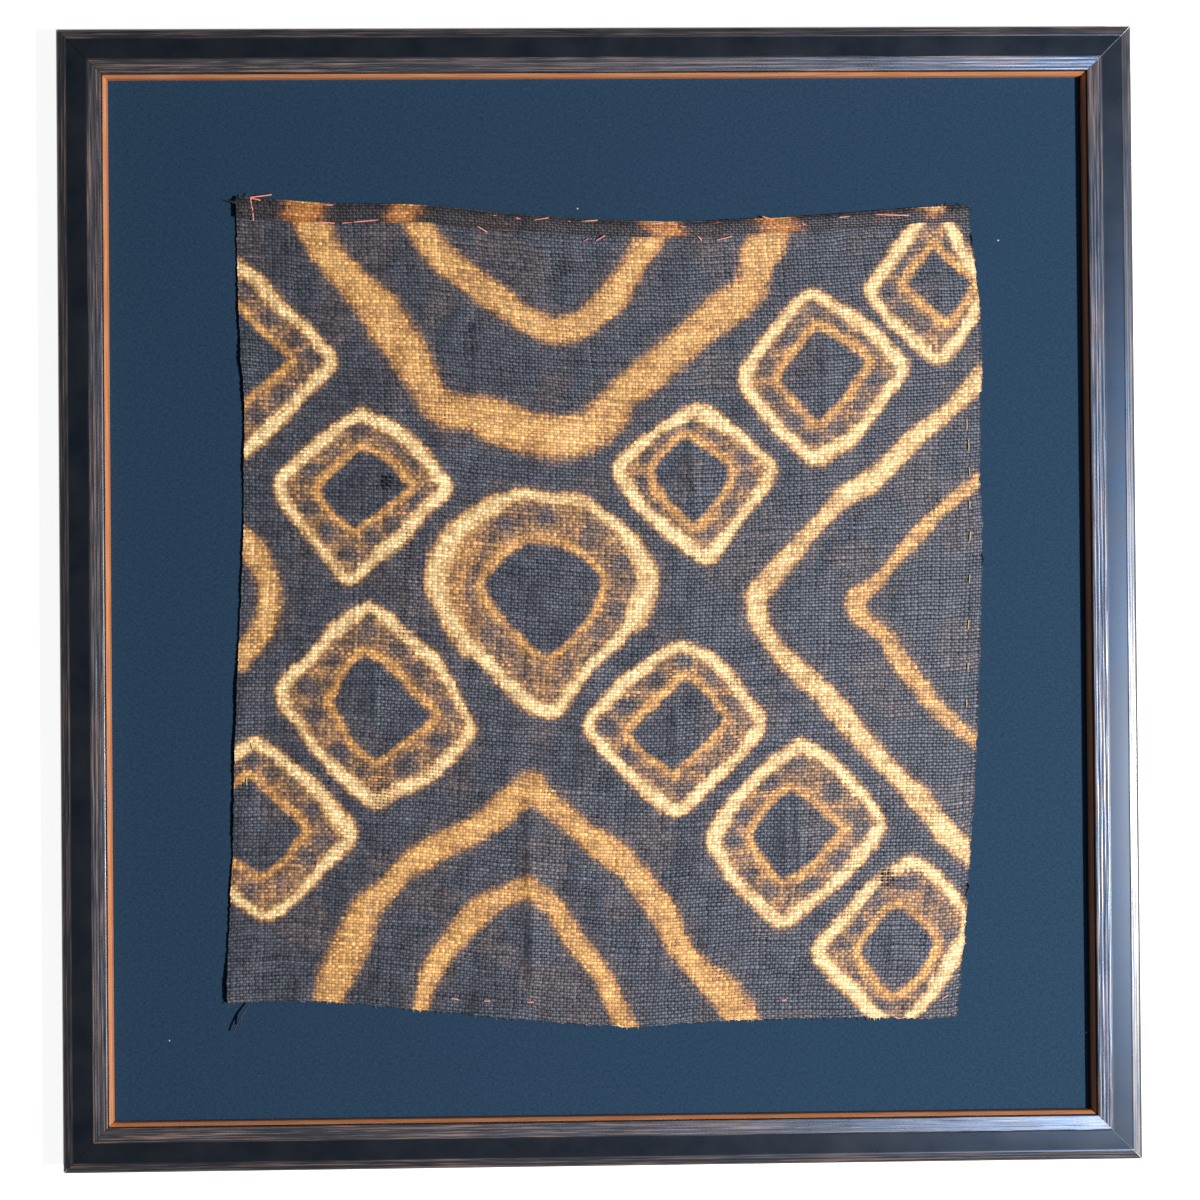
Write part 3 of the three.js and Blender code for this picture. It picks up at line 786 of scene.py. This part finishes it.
def node_tree(name, inputs):
    """A geometry tree with named inputs, returned with its input and output nodes."""
    tree = bpy.data.node_groups.new(name, "GeometryNodeTree")
    tree.interface.new_socket(name="Geometry", in_out="INPUT", socket_type="NodeSocketGeometry")
    tree.interface.new_socket(name="Geometry", in_out="OUTPUT", socket_type="NodeSocketGeometry")
    for key, kind in inputs.items():
        tree.interface.new_socket(name=key, in_out="INPUT", socket_type=kind)
    return tree, tree.nodes.new("NodeGroupInput").outputs, tree.nodes.new("NodeGroupOutput").inputs


def grow(piece, tree, **values):
    """Runs a geometry tree on a piece and keeps the result as its plain mesh."""
    step = piece.modifiers.new("grow", "NODES")
    step.node_group = tree
    for item in tree.interface.items_tree:
        if item.in_out == "INPUT" and item.name.replace(" ", "_") in values:
            step[item.identifier] = values[item.name.replace(" ", "_")]
    bpy.context.view_layer.update()
    made = bpy.data.meshes.new_from_object(piece.evaluated_get(bpy.context.evaluated_depsgraph_get()))
    piece.modifiers.remove(step)
    piece.data = made
    return piece


thread_tree, thread_in, thread_out = node_tree("threads on cloth", {
    "Radius": "NodeSocketFloat",
    "Bulge": "NodeSocketFloat",
    "Points": "NodeSocketInt",
    "Material": "NodeSocketMaterial",
})
curve = add(thread_tree, "GeometryNodeMeshToCurve", {"Mesh": thread_in["Geometry"]})
curve = add(thread_tree, "GeometryNodeResampleCurve", {
    "Curve": curve.outputs[0], "Count": thread_in["Points"]})
share = add(thread_tree, "GeometryNodeSplineParameter").outputs["Factor"]
arch = calc(thread_tree, "SINE", calc(thread_tree, "MULTIPLY", share, np.pi))
rise = add(thread_tree, "ShaderNodeCombineXYZ", {
    "Z": calc(thread_tree, "MULTIPLY", arch, thread_in["Bulge"])})
curve = add(thread_tree, "GeometryNodeSetPosition", {
    "Geometry": curve.outputs[0], "Offset": rise.outputs[0]})
ring = add(thread_tree, "GeometryNodeCurvePrimitiveCircle", {
    "Resolution": 8, "Radius": thread_in["Radius"]})
tube = add(thread_tree, "GeometryNodeCurveToMesh", {
    "Curve": curve.outputs[0], "Profile Curve": ring.outputs[0], "Fill Caps": True})
tube = add(thread_tree, "GeometryNodeSetShadeSmooth", {"Geometry": tube.outputs[0]})
tube = add(thread_tree, "GeometryNodeRealizeInstances", {"Geometry": tube.outputs[0]})
tube = add(thread_tree, "GeometryNodeSetMaterial", {
    "Geometry": tube.outputs[0], "Material": thread_in["Material"]})
thread_tree.links.new(tube.outputs[0], thread_out["Geometry"])

pink, tree, shader = new_material("pink sewing thread", Base_Color=(0.80, 0.29, 0.22, 1), Roughness=0.6)
pale_gold, tree, shader = new_material("pale gold thread", Base_Color=(0.50, 0.36, 0.18, 1), Roughness=0.6)
pink_stitches = grow(
    strand_mesh("pink_stitches", PINK_STITCHES), thread_tree, Radius=0.42 * MM, Bulge=0.25 * MM, Points=9,
    Material=pink,
)
gold_stitches = grow(
    strand_mesh("gold_stitches", GOLD_STITCHES), thread_tree, Radius=0.4 * MM, Bulge=0.25 * MM, Points=7,
    Material=pale_gold,
)
for piece in (pink_stitches, gold_stitches):
    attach(piece, "root")

# Loose yarn ends: raffia ends that stick out of the raw bottom and right edges, thick tufts at the
# two top corners and a dark tail at the bottom left, all part of the weave.
TAIL = (
    ((-230, -263), (-235, -270), (-238, -276), (-240, -281)),
    ((-231, -264), (-235, -271), (-236, -277)),
)
LEFT_TUFT = 70
RIGHT_TUFT = 60
ends, out_way, reach, end_resist = [], [], [], []
rng = np.random.default_rng(9)


def loose_end(r, c, way, length):
    """Notes an end at one crossing, with the way it sticks out and its length."""
    ends.append(cloth_points[r, c] * MM)
    out_way.append(way)
    reach.append(length * MM)
    end_resist.append(resist[r, c])


for c in range(WARPS + 1):
    loose_end(WEFTS, c, (rng.normal(0, 0.3), -1, 0.1), rng.uniform(0.3, 1.8))
for r in range(HEM_WEFTS, WEFTS + 1):
    loose_end(r, WARPS, (1, rng.normal(0, 0.4), 0.1), rng.uniform(0.2, 1.1))
for _ in range(LEFT_TUFT):
    loose_end(HEM_WEFTS + rng.integers(-4, 2), rng.integers(0, 16), (
        rng.normal(-0.5, 0.8), rng.normal(0.1, 0.6), 0.3), rng.uniform(2, 6))
for _ in range(RIGHT_TUFT):
    loose_end(HEM_WEFTS + rng.integers(-5, 6), WARPS - rng.integers(0, 11), (
        rng.normal(0.5, 0.8), rng.normal(0.2, 0.8), 0.35), rng.uniform(2, 5))
fray = plain_mesh("loose_yarn_ends", ends, [], {"reach": reach, "resist": end_resist})
way = fray.data.attributes.new("way", "FLOAT_VECTOR", "POINT")
way.data.foreach_set("vector", np.array(out_way, np.float32).ravel())
fray_tree, fray_in, fray_out = node_tree("ends along an edge", {
    "Kept": "NodeSocketFloat",
    "Radius": "NodeSocketFloat",
    "Seed": "NodeSocketInt",
    "Material": "NodeSocketMaterial",
})
stub = add(fray_tree, "GeometryNodeMeshCone", {
    "Vertices": 6, "Radius Top": 0.3, "Radius Bottom": 1.0, "Depth": 1.0})
kept = add(fray_tree, "FunctionNodeRandomValue", {"Probability": fray_in["Kept"], "Seed": fray_in["Seed"]},
           data_type="BOOLEAN")
named_way = add(fray_tree, "GeometryNodeInputNamedAttribute", {"Name": "way"}, data_type="FLOAT_VECTOR")
aim = named_way.outputs[0]
turned = add(fray_tree, "FunctionNodeAlignRotationToVector", {"Vector": aim}, axis="Z").outputs[0]
length = add(fray_tree, "GeometryNodeInputNamedAttribute", {"Name": "reach"}, data_type="FLOAT").outputs[0]
size = add(fray_tree, "ShaderNodeCombineXYZ", {
    0: fray_in["Radius"], 1: fray_in["Radius"], 2: length}).outputs[0]
stubs = add(fray_tree, "GeometryNodeInstanceOnPoints", {
    "Points": fray_in["Geometry"], "Selection": kept.outputs[3], "Instance": stub.outputs[0],
    "Rotation": turned, "Scale": size})
stubs = add(fray_tree, "GeometryNodeRealizeInstances", {"Geometry": stubs.outputs[0]})
stubs = add(fray_tree, "GeometryNodeSetMaterial", {
    "Geometry": stubs.outputs[0], "Material": fray_in["Material"]})
fray_tree.links.new(stubs.outputs[0], fray_out["Geometry"])

yarn_end, tree, shader = new_material("raffia yarn end", Roughness=0.55)
left_pale = add(tree, "ShaderNodeAttribute", attribute_name="resist").outputs["Fac"]
end_colour = dye_scale(tree, left_pale, (
    (0.2, (0.02, 0.02, 0.026)), (0.7, (0.34, 0.17, 0.08)), (1.0, (0.6, 0.4, 0.2))))
tree.links.new(end_colour, shader.inputs["Base Color"])
grow(fray, fray_tree, Kept=0.62, Radius=0.42 * MM, Seed=4, Material=yarn_end)
tail = grow(
    strand_mesh("yarn_tail", TAIL), thread_tree, Radius=0.5 * MM, Bulge=0.6 * MM, Points=12,
    Material=yarn_end,
)
for piece in (fray, tail):
    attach(piece, "root")

# Studio: a plain pale floor, a small key light from the right for crisp shadows, a large cool panel
# on the right that only shines in polished faces, and a dim even surround.
FLOOR_HALF = 6
FLOOR_DROP = 0.0005
floor_corners = ((-1, -1), (1, -1), (1, 1), (-1, 1))
floor_points = [(FLOOR_HALF * a, FLOOR_HALF * b, -FLOOR_DROP) for a, b in floor_corners]
floor = plain_mesh("floor", floor_points, [(0, 1, 2, 3)])
pale, tree, shader = new_material(
    "pale floor", Base_Color=(0.8, 0.8, 0.8, 1), Roughness=0.9,
    Emission_Color=(1, 1, 1, 1), Emission_Strength=0.88,
)
floor.data.materials.append(pale)


def panel_light(name, place, aim, size, power, colour):
    """A flat rectangular light at a place, turned to its aim."""
    light = bpy.data.lights.new(name, "AREA")
    light.shape = "RECTANGLE"
    light.size, light.size_y = size
    light.energy = power
    light.color = colour
    lamp = bpy.data.objects.new(name, light)
    lamp.location = place
    way = Vector(aim) - Vector(place)
    lamp.rotation_euler = way.to_track_quat("-Z", "Y").to_euler()
    bpy.context.scene.collection.objects.link(lamp)
    return lamp


panel_light("key", (1.56, -0.38, 1.97), (0, 0, 0), (0.1, 0.1), 108, (1.0, 0.97, 0.93))
shine = panel_light("shine", (1.0, -0.16, 1.85), (0.335, -0.06, 0), (1.3, 0.26), 42, (0.20, 0.48, 1.0))
shine.visible_diffuse = False
world = bpy.data.worlds.new("surround")
world.use_nodes = True
world.node_tree.nodes["Background"].inputs["Color"].default_value = (0.92, 0.95, 1.0, 1)
world.node_tree.nodes["Background"].inputs["Strength"].default_value = 0.09
bpy.context.scene.world = world
bpy.context.scene.view_settings.view_transform = "Standard"

camera = bpy.data.objects.new("camera", bpy.data.cameras.new("camera"))
camera.data.lens = 54
camera.data.sensor_width = 36
camera.location = (-0.02045, -0.01110, 1.18826)
camera.rotation_euler = (0.0072, -0.0170, -0.0086)
bpy.context.scene.collection.objects.link(camera)
bpy.context.scene.camera = camera
